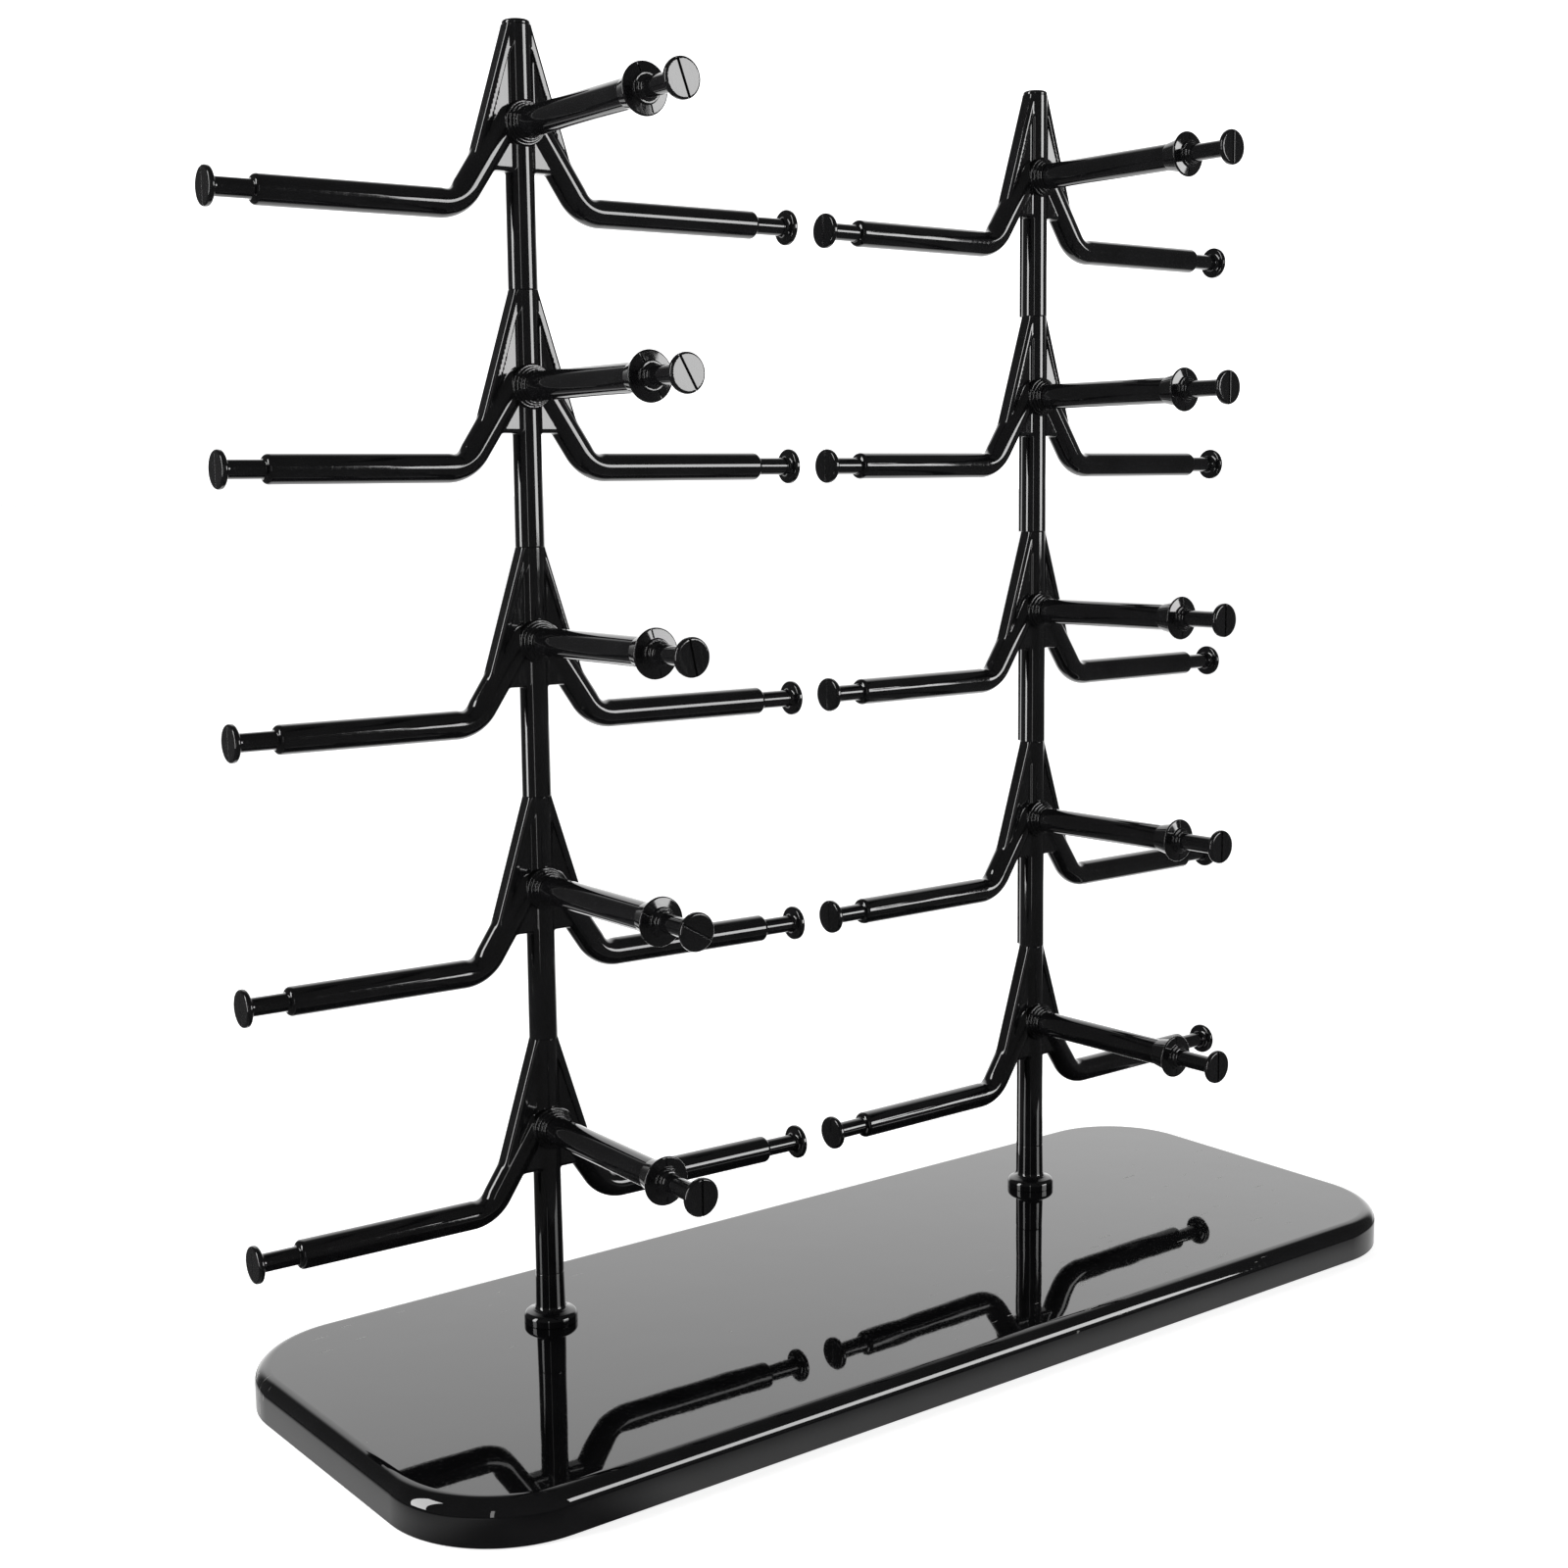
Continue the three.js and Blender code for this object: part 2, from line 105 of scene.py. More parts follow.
SHOULDER_FILLET = 0.6
ARM_TIP = 102.9
NECK_RADIUS = 2.9
NECK_ROOT = 5.0
NECK_OVERLAP = 0.3
DISK_RADIUS = 5.9
DISK_THICKNESS = 2.0
DISK_EDGE = 0.75
NECK_FILLET = 1.6
MOULD_LINE_HALF = 0.16
MOULD_LINE_DEPTH = 0.25
HUB_RINGS = ((6.9, 5.2), (6.2, 6.2), (5.5, 7.2), (4.9, 8.2))
RING_EDGE = 0.3
HUB_FILLET = 0.25
SPIGOT_RADIUS = 2.3
SOCKET_RADIUS = 2.55
SPIGOT_LENGTH = 8.0
SOCKET_DEPTH = 8.5
PEG_SOCKET_END = -1.1

# Pegs. Distances are forward of the post's axis.
PEG_RADIUS = 4.6
PEG_START = 8.45
PEG_BACK_EDGE = 0.25
PEG_SPIGOT_END = -0.7
FLARE_START = 66.0
FLARE_STEP = 0.22
FLARE_EDGE = 0.8 * FLARE_STEP
FLARE_OVERLAP = 0.4
FLARE_RADIUS = 6.2
COLLAR_RADIUS = 7.65
COLLAR_BACK = 73.1
COLLAR_RIM = 73.95
COLLAR_FRONT = 74.4
COLLAR_EDGE = 0.4
COLLAR_FILLET = 0.5
STEP_EDGE = 0.3
STEP_FILLET = 0.15
COLLAR_STEPS = ((4.5, 75.2), (3.6, 76.1))
PEG_TIP = 93.7
SLOT_HALF_WIDTH = 0.32
SLOT_DEPTH = 0.6
SLOT_EDGE = 0.12
COLLAR_LINE_START = 4.8
COLLAR_LINE_TOP = 0.2
PEG_ROLLS = {"left": (20, 30, 12, 60, 0), "right": (0, 0, 0, 0, 0)}

# Caps, feet, pads and screws
CAP_RADIUS = 4.45
CAP_TOP = 56.5
CAP_EDGE = 0.95
CAP_ROOT = 3.0
CAP_OVERLAP = 0.5
BASE_TOP = 14.1
FLANGE_RADIUS = 8.9
FLANGE_SIDE = 3.3
FLANGE_HEIGHT = 4.4
FLANGE_EDGE = 1.2
FLANGE_SLOPE = 0.36
FOOT_POST_RADIUS = 5.0
FOOT_TOP = 31.2
FOOT_FILLET = 1.6
FOOT_RIB_BACK = RIB_BACK + 0.15
TENON_RADIUS = 3.8
TENON_BOTTOM = 5.75
TENON_EDGE = 0.4
PILOT_RADIUS = 1.55
PILOT_TOP = 13.2
PAD_RADIUS = 6.0
PAD_THICKNESS = 2.5
PAD_EDGE = 0.6
SCREW_RADIUS = 1.3
SCREW_TOP = 12.5
SCREW_HEAD_RADIUS = 3.3
SCREW_HEAD_LOW = 1.5
SCREW_HEAD_HIGH = 3.5
SCREW_HEAD_EDGE = 1.1
SHANK_OVERLAP = 0.5
SCREW_RECESS_HALF = 0.4
SCREW_RECESS_REACH = 1.8
SCREW_RECESS_DEPTH = 1.0
THREAD_HEIGHT = 0.22
THREAD_PITCH = 1.0
CONE_TIP_SLOPE = 0.7

# Base
BASE_LENGTH = 415.5
BASE_DEPTH = 158.4
BASE_CORNER = 37.4
BASE_EDGE_RADIUS = 5.0
SKIRT_BOTTOM = 0.5
SKIRT_EDGE = 0.5
WALL = 3.0
INNER_EDGE = 1.0
RIB_THICKNESS = 2.5
BASE_RIB_BOTTOM = 4.0
BOSS_RADIUS = 7.5
BOSS_BOTTOM = 3.5
BOSS_FLOOR = 2.0
SCREW_CLEARANCE = 1.75
STUD_RADIUS = 8.0
CORNER_STEPS = 40
EDGE_STEPS = 20
INNER_STEPS = 6
SKIRT_STEPS = 4
CYLINDER_SIDES = 64
SHARP_ANGLE = math.radians(35)

# Meshing. A stretch of grid lines is (start, end, step): fine at edges, coarse along tubes.
SURFACE_PASSES = 5
SLOPE_STEP = 0.02
LONGEST_MOVE = 0.3
FRAME_ACROSS = (
    (0.0, 8.0, 0.25), (8.0, 36.0, 0.5), (36.0, 85.5, 1.9), (85.5, 89.5, 0.3),
    (89.5, 99.0, 0.9), (99.0, 103.6, 0.22),
)
FRAME_DEEP = (
    (-8.9, -4.6, 0.17), (-4.6, -1.6, 0.3), (-1.6, -0.4, 0.4), (-0.4, 0.4, 0.1),
    (0.4, 6.7, 0.42),
)
FRAME_HIGH = (
    (-33.6, -25.4, 0.9), (-25.4, -24.4, 0.16), (-24.4, -6.6, 1.3), (-6.6, 17.4, 0.42),
    (17.4, 33.0, 0.25), (33.0, 54.4, 0.45), (54.4, 55.5, 0.16),
)
PEG_ACROSS = ((0.0, 0.72, 0.12), (0.72, 8.0, 0.33))
PEG_DEEP = (
    (-94.2, -90.4, 0.2), (-90.4, -77.2, 0.8), (-77.2, -72.4, 0.2), (-72.4, -66.8, 0.5),
    (-66.8, -65.4, 0.12), (-65.4, -9.4, 1.9), (-9.4, -7.9, 0.15), (-7.9, 1.1, 0.6),
)
PEG_HIGH = ((0.0, 8.0, 0.33),)
CAP_ACROSS = ((0.0, 4.8, 0.24),)
CAP_HIGH = ((46.6, 54.6, 0.6), (54.6, 56.9, 0.16))
FOOT_ACROSS = ((0.0, 9.4, 0.33),)
FOOT_HIGH = (
    (5.2, 13.6, 0.6), (13.6, 14.6, 0.16), (14.6, 21.4, 0.3), (21.4, 30.6, 0.9),
    (30.6, 31.6, 0.16),
)
PAD_ACROSS = ((0.0, 6.4, 0.4),)
PAD_HIGH = ((-0.3, 2.8, 0.2),)
SCREW_ACROSS = ((0.0, 3.6, 0.15),)
SCREW_HIGH = ((1.2, 12.8, 0.16),)

# Surfaces from fields ----------------------------------------------------------------


def union(a, b, blend=1e-6):
    """Two fields joined, with a fillet of about that size. The default blend is sharp."""
    mix = np.clip(0.5 + 0.5 * (b - a) / blend, 0, 1)
    return b + (a - b) * mix - blend * mix * (1 - mix)


def cut(a, b, blend=1e-6):
    """Field a with field b taken out of it."""
    return -union(-a, b, blend)


def rounded(u, v, edge):
    """Two slab fields crossed, with their corner rounded."""
    u, v = u + edge, v + edge
    outside = np.hypot(np.maximum(u, 0), np.maximum(v, 0))
    return np.minimum(np.maximum(u, v), 0) + outside - edge


def between(value, low, high):
    """The field of a slab from low to high."""
    return np.abs(value - (low + high) / 2) - (high - low) / 2


def disc(radial, along, radius, low, high, edge=0.0):
    """A round solid of that radius from low to high along its axis, with rounded edges."""
    return rounded(radial - radius, between(along, low, high), edge)


def lines(*stretches):
    """Grid lines from (start, end, step) stretches, in order."""
    values = []
    for start, end, step in stretches:
        count = max(1, round((end - start) / step))
        values.append(np.linspace(start, end, count, endpoint=False))
    values.append(np.array([stretches[-1][1]]))
    return np.concatenate(values)


def mirrored(stretches):
    """The same stretches on both sides of zero."""
    return [(-end, -start, step) for start, end, step in reversed(stretches)] + list(stretches)


def crossings(values, axes):
    """One vertex in each grid cell that the surface passes through, and the cell's number."""
    inside = values < 0
    shape = np.array(values.shape) - 1
    corner = [slice(0, -1), slice(1, None)]
    total = np.zeros(tuple(shape) + (3,))
    count = np.zeros(tuple(shape))
    grids = np.meshgrid(*axes, indexing="ij")
    for axis in range(3):
        low = [slice(None)] * 3
        high = [slice(None)] * 3
        low[axis], high[axis] = corner
        a, b = values[tuple(low)], values[tuple(high)]
        crossed = inside[tuple(low)] != inside[tuple(high)]
        part = np.where(crossed, a / np.where(crossed, a - b, 1), 0)
        point = [grid[tuple(low)].astype(float) for grid in grids]
        point[axis] = point[axis] + part * (grids[axis][tuple(high)] - grids[axis][tuple(low)])
        others = [k for k in range(3) if k != axis]
        for first in corner:
            for second in corner:
                pick = [slice(None)] * 3
                pick[others[0]], pick[others[1]] = first, second
                pick = tuple(pick)
                count += crossed[pick]
                for k in range(3):
                    total[..., k] += np.where(crossed[pick], point[k][pick], 0)
    used = count > 0
    number = np.full(tuple(shape), -1)
    number[used] = np.arange(used.sum())
    return total[used] / count[used][:, None], number, inside


def cell_faces(number, inside):
    """A quad round each grid edge that the surface crosses, facing outwards."""
    faces = []
    for axis in range(3):
        u, v = [(1, 2), (2, 0), (0, 1)][axis]
        low = [slice(1, -1)] * 3
        high = [slice(1, -1)] * 3
        low[axis], high[axis] = slice(0, -1), slice(1, None)
        a, b = inside[tuple(low)], inside[tuple(high)]
        at = np.argwhere(a != b)
        leaves = a[tuple(at.T)]
        at = at + 1
        at[:, axis] -= 1
        quad = []
        for du, dv in ((-1, -1), (0, -1), (0, 0), (-1, 0)):
            cell = at.copy()
            cell[:, u] += du
            cell[:, v] += dv
            quad.append(number[tuple(cell.T)])
        quad = np.array(quad).T
        faces.append(np.where(leaves[:, None], quad, quad[:, ::-1]))
    return np.concatenate(faces)


def slope(field, points):
    """The field's outward direction at each point, and how steeply it rises."""
    result = np.empty_like(points)
    for axis in range(3):
        shift = np.zeros(3)
        shift[axis] = SLOPE_STEP
        result[:, axis] = field(*(points + shift).T) - field(*(points - shift).T)
    length = np.linalg.norm(result, axis=1, keepdims=True)
    return result / np.maximum(length, 1e-9), length[:, 0] / (2 * SLOPE_STEP)


def surface(name, field, axes):
    """A mesh of the field's zero surface, with vertices and shading exactly on it."""
    grids = np.meshgrid(*axes, indexing="ij", sparse=True)
    values = field(*grids) + np.zeros([len(axis) for axis in axes])
    points, number, inside = crossings(values, axes)
    faces = cell_faces(number, inside)
    for _ in range(SURFACE_PASSES):
        direction, steepness = slope(field, points)
        distance = field(*points.T) / np.clip(steepness, 0.5, 2)
        points -= direction * np.clip(distance, -LONGEST_MOVE, LONGEST_MOVE)[:, None]
    normals, _ = slope(field, points)
    mesh = bpy.data.meshes.new(name)
    mesh.from_pydata((points * MM).tolist(), [], faces.tolist())
    mesh.validate()
    mesh.shade_smooth()
    if len(mesh.vertices) == len(normals):
        mesh.normals_split_custom_set_from_vertices(normals.tolist())
    mesh.update()
    return mesh


# Tier mouldings ----------------------------------------------------------------------

BEND_TANGENT = ARM_BEND_RADIUS * math.tan(ARM_SLOPE / 2)
BEND_END = ARM_CORNER + BEND_TANGENT


def bent_tube(reach, y, z):
    """The arm's tube, sloping then level, with its bend tightened on the inside."""
    fall_x, fall_z = math.cos(ARM_SLOPE), -math.sin(ARM_SLOPE)
    from_x = reach - ARM_CORNER + ARM_SLOPE_LENGTH * fall_x
    from_z = z + ARM_SLOPE_LENGTH * fall_z
    along = np.clip(from_x * fall_x + from_z * fall_z, 0, ARM_SLOPE_LENGTH - BEND_TANGENT)
    sloping = np.sqrt((from_x - along * fall_x)**2 + (from_z - along * fall_z)**2 + y**2)
    level = np.sqrt(np.minimum(reach - BEND_END, 0)**2 + y**2 + z**2)
    turn_x, turn_z = reach - BEND_END, z - ARM_BEND_RADIUS
    turn = np.arctan2(-turn_x, -turn_z)
    radius = np.hypot(turn_x, turn_z)
    tight = 1 + INNER_TIGHTNESS * np.sin(math.pi * turn / ARM_SLOPE)**2
    squeeze = ARM_RADIUS / (ARM_BEND_RADIUS - (ARM_BEND_RADIUS - ARM_RADIUS) * tight)
    across = (radius - ARM_BEND_RADIUS) * np.where(radius < ARM_BEND_RADIUS, squeeze, 1)
    bend = np.where((turn > 0) & (turn < ARM_SLOPE), np.hypot(across, y), np.inf)
    return np.minimum(np.minimum(sloping, level), bend) - ARM_RADIUS


def arm_field(x, y, z):
    """Both arms, each with its shoulder, neck and lined end disk."""
    reach = np.abs(x)
    radial = np.hypot(y, z)
    tube = rounded(bent_tube(reach, y, z), reach - ARM_SHOULDER, SHOULDER_EDGE)
    neck_end = ARM_TIP - DISK_THICKNESS + NECK_OVERLAP
    neck = disc(radial, reach, NECK_RADIUS, ARM_SHOULDER - NECK_ROOT, neck_end)
    disk = disc(radial, reach, DISK_RADIUS, ARM_TIP - DISK_THICKNESS, ARM_TIP, DISK_EDGE)
    whole = union(union(tube, neck, SHOULDER_FILLET), disk, NECK_FILLET)
    line = np.maximum(np.abs(y) - MOULD_LINE_HALF, ARM_TIP - MOULD_LINE_DEPTH - reach)
    return cut(whole, line, GROOVE_EDGE)


def leg_plane(x, z):
    """Distance outside the plate's sloping edge."""
    run = LEG_FOOT[0] - LEG_HEAD[0]
    rise = LEG_HEAD[1] - LEG_FOOT[1]
    return ((np.abs(x) - LEG_FOOT[0]) * rise + (z - LEG_FOOT[1]) * run) / math.hypot(run, rise)


def plate_field(x, y, z):
    """The A-shaped plate, with a shallow pocket between its legs on both faces."""
    across = leg_plane(x, z)
    outline = np.maximum(across, PLATE_BOTTOM - z)
    plate = rounded(outline, np.abs(y) - PLATE_HALF, PLATE_EDGE)
    plate = np.maximum(plate, z - SEAM_TOP)
    recess = np.maximum(across + LEG_WIDTH, POCKET_BOTTOM - z)
    floor = PLATE_HALF - POCKET_DEPTH + POCKET_SLOPE * (np.abs(x) - POCKET_MIDDLE)
    recess = np.maximum(recess, floor - np.abs(y))
    return cut(plate, recess, POCKET_EDGE)


def post_field(x, y, z):
    """The tapered post and its rear rib, which runs out below the plate's head."""
    part = (z - SEAM_BOTTOM) / (SEAM_TOP - SEAM_BOTTOM)
    radius = POST_BOTTOM_RADIUS + (POST_TOP_RADIUS - POST_BOTTOM_RADIUS) * part
    post = rounded(np.hypot(x, y) - radius, between(z, SEAM_BOTTOM, SEAM_TOP), SEAM_EDGE)
    runout = (z - RIB_TOP + RIB_RUNOUT) * RIB_RUNOUT_SLOPE + y - RIB_BACK
    rib = rounded(np.abs(x) - RIB_HALF_WIDTH, y - RIB_BACK, RIB_EDGE)
    rib = np.maximum(np.maximum(rib, -y), np.maximum(SEAM_BOTTOM - z + BUTT_GAP, runout))
    return union(post, rib, RIB_FILLET)


def hub_field(x, y, z):
    """The stepped hub that holds a peg."""
    radial = np.hypot(x, z - PEG_ABOVE_ARM)
    rings = [disc(radial, -y, radius, 0, front, RING_EDGE) for radius, front in HUB_RINGS]
    return np.minimum.reduce(rings)


def frame_field(x, y, z):
    """A whole tier moulding, with its spigot below, its socket above and the peg's bore."""
    body = union(post_field(x, y, z), plate_field(x, y, z), PLATE_FILLET)
    body = union(body, arm_field(x, y, z), ARM_FILLET)
    body = union(body, hub_field(x, y, z), HUB_FILLET)
    upright = np.hypot(x, y)
    spigot_end = SEAM_BOTTOM - SPIGOT_LENGTH
    spigot = disc(upright, z, SPIGOT_RADIUS, spigot_end, SEAM_BOTTOM + JOIN_OVERLAP, PIN_EDGE)
    socket = disc(upright, z, SOCKET_RADIUS, SEAM_TOP - SOCKET_DEPTH, SEAM_TOP + CUT_PAST)
    forward = np.hypot(x, z - PEG_ABOVE_ARM)
    bore = disc(forward, -y, SOCKET_RADIUS, PEG_SOCKET_END, HUB_RINGS[-1][1] + CUT_PAST)
    return cut(cut(np.minimum(body, spigot), socket), bore)


def frame_mesh():
    axes = lines(*mirrored(FRAME_ACROSS)), lines(*FRAME_DEEP), lines(*FRAME_HIGH)
    return surface("tier_frame", frame_field, axes)


# Pegs --------------------------------------------------------------------------------


def peg_field(x, y, z):
    """A peg: spigot, tube, flare, domed collar with its steps, neck and slotted end disk."""
    radial = np.hypot(x, z)
    along = -y
    spigot = disc(radial, along, SPIGOT_RADIUS, PEG_SPIGOT_END, PEG_START + JOIN_OVERLAP, PIN_EDGE)
    tube = disc(radial, along, PEG_RADIUS, PEG_START, COLLAR_BACK, PEG_BACK_EDGE)
    flare = (FLARE_RADIUS - PEG_RADIUS - FLARE_STEP) / (COLLAR_BACK - FLARE_START)
    cone = radial - PEG_RADIUS - FLARE_STEP - (along - FLARE_START) * flare
    cone_ends = between(along, FLARE_START, COLLAR_BACK + FLARE_OVERLAP)
    cone = rounded(cone, cone_ends, FLARE_EDGE)
    dome = (COLLAR_FRONT - COLLAR_RIM) / (COLLAR_RADIUS - COLLAR_STEPS[0][0])
    front = (along - COLLAR_RIM - (COLLAR_RADIUS - radial) * dome) / math.hypot(1, dome)
    front = np.maximum(front, along - COLLAR_FRONT)
    rim = rounded(radial - COLLAR_RADIUS, np.maximum(front, COLLAR_BACK - along), COLLAR_EDGE)
    body = union(np.minimum(tube, cone), rim, COLLAR_FILLET)
    for radius, step_front in COLLAR_STEPS:
        step = disc(radial, along, radius, COLLAR_FRONT - JOIN_OVERLAP, step_front, STEP_EDGE)
        body = union(body, step, STEP_FILLET)
    neck_end = PEG_TIP - DISK_THICKNESS + NECK_OVERLAP
    neck = disc(radial, along, NECK_RADIUS, COLLAR_FRONT, neck_end)
    disk = disc(radial, along, DISK_RADIUS, PEG_TIP - DISK_THICKNESS, PEG_TIP, DISK_EDGE)
    body = union(np.minimum(body, spigot), neck, COLLAR_FILLET)
    whole = union(body, disk, NECK_FILLET)
    slot = np.maximum(np.abs(x) - SLOT_HALF_WIDTH, PEG_TIP - SLOT_DEPTH - along)
    line = np.maximum(np.abs(x) - SLOT_HALF_WIDTH / 2, COLLAR_FRONT - SLOT_DEPTH - along)
    outside = np.maximum(along - COLLAR_FRONT - COLLAR_LINE_TOP, COLLAR_LINE_START - radial)
    return cut(cut(whole, slot, SLOT_EDGE), np.maximum(line, outside), GROOVE_EDGE)


def peg_mesh():
    axes = lines(*mirrored(PEG_ACROSS)), lines(*PEG_DEEP), lines(*mirrored(PEG_HIGH))
    return surface("peg", peg_field, axes)


# Caps, feet, pads and screws ---------------------------------------------------------


def cap_field(x, y, z):
    """A low round lid on a plug that fills the top tier's socket."""
    radial = np.hypot(x, y)
    lid = disc(radial, z, CAP_RADIUS, SEAM_TOP - CAP_ROOT, CAP_TOP, CAP_EDGE)
    lid = np.maximum(lid, SEAM_TOP - z)
    stem_top = SEAM_TOP + CAP_OVERLAP
    stem = disc(radial, z, SPIGOT_RADIUS, SEAM_TOP - SPIGOT_LENGTH, stem_top, PIN_EDGE)
    return np.minimum(lid, stem)


def cap_mesh():
    across = lines(*mirrored(CAP_ACROSS))
    return surface("top_cap", cap_field, (across, across, lines(*CAP_HIGH)))


def foot_field(x, y, z):
    """A column's foot: domed flange, short post with its rib, socket, tenon and pilot hole."""
    radial = np.hypot(x, y)
    above = z - BASE_TOP
    taper = (FOOT_POST_RADIUS - POST_BOTTOM_RADIUS) / (FOOT_TOP - BASE_TOP)
    side = radial - FOOT_POST_RADIUS + above * taper
    post = rounded(side, between(z, BASE_TOP, FOOT_TOP), SEAM_EDGE)
    rib = rounded(np.abs(x) - RIB_HALF_WIDTH, y - FOOT_RIB_BACK, RIB_EDGE)
    rib_ends = between(z, BASE_TOP + JOIN_OVERLAP, FOOT_TOP - BUTT_GAP)
    rib = np.maximum(np.maximum(rib, -y), rib_ends)
    dome = above - FLANGE_SIDE - (FLANGE_RADIUS - radial) * FLANGE_SLOPE
    flange_top = np.maximum(dome, above - FLANGE_HEIGHT)
    flange = rounded(radial - FLANGE_RADIUS, flange_top, FLANGE_EDGE)
    flange = np.maximum(flange, -above)
    body = union(flange, union(post, rib, RIB_FILLET), FOOT_FILLET)
    tenon = disc(radial, z, TENON_RADIUS, TENON_BOTTOM, BASE_TOP + JOIN_OVERLAP, TENON_EDGE)
    socket = disc(radial, z, SOCKET_RADIUS, FOOT_TOP - SOCKET_DEPTH, FOOT_TOP + CUT_PAST)
    pilot = disc(radial, z, PILOT_RADIUS, TENON_BOTTOM - CUT_PAST, PILOT_TOP)
    return cut(cut(np.minimum(body, tenon), socket), pilot)


def foot_mesh():
    across = lines(*mirrored(FOOT_ACROSS))
    return surface("column_foot", foot_field, (across, across, lines(*FOOT_HIGH)))


def pad_field(x, y, z):
    return disc(np.hypot(x, y), z, PAD_RADIUS, 0, PAD_THICKNESS, PAD_EDGE)


def pad_mesh():
    across = lines(*mirrored(PAD_ACROSS))
    return surface("foot_pad", pad_field, (across, across, lines(*PAD_HIGH)))


def screw_field(x, y, z):
    """A pan-head screw, head down, with a cross recess and a helical thread."""
    radial = np.hypot(x, y)
    head = disc(
        radial, z, SCREW_HEAD_RADIUS, SCREW_HEAD_LOW, SCREW_HEAD_HIGH + CUT_PAST, SCREW_HEAD_EDGE,
    )
    head = np.maximum(head, z - SCREW_HEAD_HIGH)
    turns = z / THREAD_PITCH + np.arctan2(y, x) / (2 * math.pi)
    thread = THREAD_HEIGHT * np.abs(np.mod(turns, 1) - 0.5)
    shank_ends = between(z, SCREW_HEAD_HIGH - SHANK_OVERLAP, SCREW_TOP)
    shank = np.maximum(radial - SCREW_RADIUS + thread, shank_ends)
    shank = np.maximum(shank, (radial + z - SCREW_TOP) * CONE_TIP_SLOPE)
    wide, deep = np.abs(x), np.abs(y)
    across = np.maximum(wide - SCREW_RECESS_HALF, deep - SCREW_RECESS_REACH)
    along = np.maximum(deep - SCREW_RECESS_HALF, wide - SCREW_RECESS_REACH)
    recess_top = SCREW_HEAD_LOW + SCREW_RECESS_DEPTH
    recess = np.maximum(np.minimum(across, along), z - recess_top)
    return cut(np.minimum(head, shank), recess)


def screw_mesh():
    across = lines(*mirrored(SCREW_ACROSS))
    return surface("column_screw", screw_field, (across, across, lines(*SCREW_HIGH)))


# Base --------------------------------------------------------------------------------


def outline_ring(inset, height):
    """The base's rounded outline, moved in by inset, at a height."""
    half_x, half_y = BASE_LENGTH / 2 - inset, BASE_DEPTH / 2 - inset
    corner = BASE_CORNER - inset
    points = []
    for quarter, (side_x, side_y) in enumerate(((1, 1), (-1, 1), (-1, -1), (1, -1))):
        for step in range(CORNER_STEPS + 1):
            angle = (quarter + step / CORNER_STEPS) * math.pi / 2
            x = side_x * (half_x - corner) + corner * math.cos(angle)
            y = side_y * (half_y - corner) + corner * math.sin(angle)
            points.append(Vector((x, y, height)) * MM)
    return points


def arc_steps(count):
    """The angles of a quarter turn's steps, without its start."""
    return [(step + 1) / count * math.pi / 2 for step in range(count)]


def base_profile():
    """(inset, height) points from the hollow's ceiling, down the wall and over the top edge."""
    ceiling = BASE_TOP - WALL
    points = [(WALL + INNER_EDGE, ceiling)]
    for turn in arc_steps(INNER_STEPS):
        inset = WALL + INNER_EDGE * (1 - math.sin(turn))
        points.append((inset, ceiling - INNER_EDGE * (1 - math.cos(turn))))
    points.append((WALL, SKIRT_BOTTOM + SKIRT_EDGE))
    for turn in arc_steps(SKIRT_STEPS):
        inset = WALL - SKIRT_EDGE * (1 - math.cos(turn))
        points.append((inset, SKIRT_BOTTOM + SKIRT_EDGE * (1 - math.sin(turn))))
    for turn in [0.0] + arc_steps(SKIRT_STEPS):
        inset = SKIRT_EDGE * (1 - math.sin(turn))
        points.append((inset, SKIRT_BOTTOM + SKIRT_EDGE * (1 - math.cos(turn))))
    side_top = BASE_TOP - BASE_EDGE_RADIUS
    for turn in [0.0] + arc_steps(EDGE_STEPS):
        inset = BASE_EDGE_RADIUS * (1 - math.cos(turn))
        points.append((inset, side_top + BASE_EDGE_RADIUS * math.sin(turn)))
    return points


def base_body():
    """The base's shell, closed by its ceiling inside and its flat top."""
    work = bmesh.new()
    rings = [[work.verts.new(p) for p in outline_ring(*at)] for at in base_profile()]
    count = len(rings[0])
    for low, high in zip(rings, rings[1:]):
        for i in range(count):
            j = (i + 1) % count
            work.faces.new((low[i], low[j], high[j], high[i]))
    work.faces.new(rings[0][::-1])
    work.faces.new(rings[-1])
    bmesh.ops.recalc_face_normals(work, faces=work.faces)
    return mesh_from(work, "base_shell")


def mesh_from(work, name):
    mesh = bpy.data.meshes.new(name)
    work.to_mesh(mesh)
    work.free()
    return mesh


def cylinder(radius, low, high, x, y):
    work = bmesh.new()
    middle = Vector((x, y, (low + high) / 2)) * MM
    bmesh.ops.create_cone(
        work, cap_ends=True, segments=CYLINDER_SIDES, radius1=radius * MM, radius2=radius * MM,
        depth=(high - low) * MM, matrix=Matrix.Translation(middle),
    )
    return work


def slab(low, high):
    work = bmesh.new()
    low, high = Vector(low) * MM, Vector(high) * MM
    size = Matrix.Diagonal((*(high - low), 1))
    bmesh.ops.create_cube(work, size=1, matrix=Matrix.Translation((low + high) / 2) @ size)
    return work


def combine(target, work, operation):
    """Joins a closed solid to the target's mesh, or cuts it out."""
    tool = bpy.data.objects.new("tool", mesh_from(work, "tool"))
    bpy.context.scene.collection.objects.link(tool)
    modifier = target.modifiers.new("combine", "BOOLEAN")
    modifier.operation = operation
    modifier.object = tool
    modifier.solver = "EXACT"
    apply_modifiers(target)
    bpy.data.objects.remove(tool)


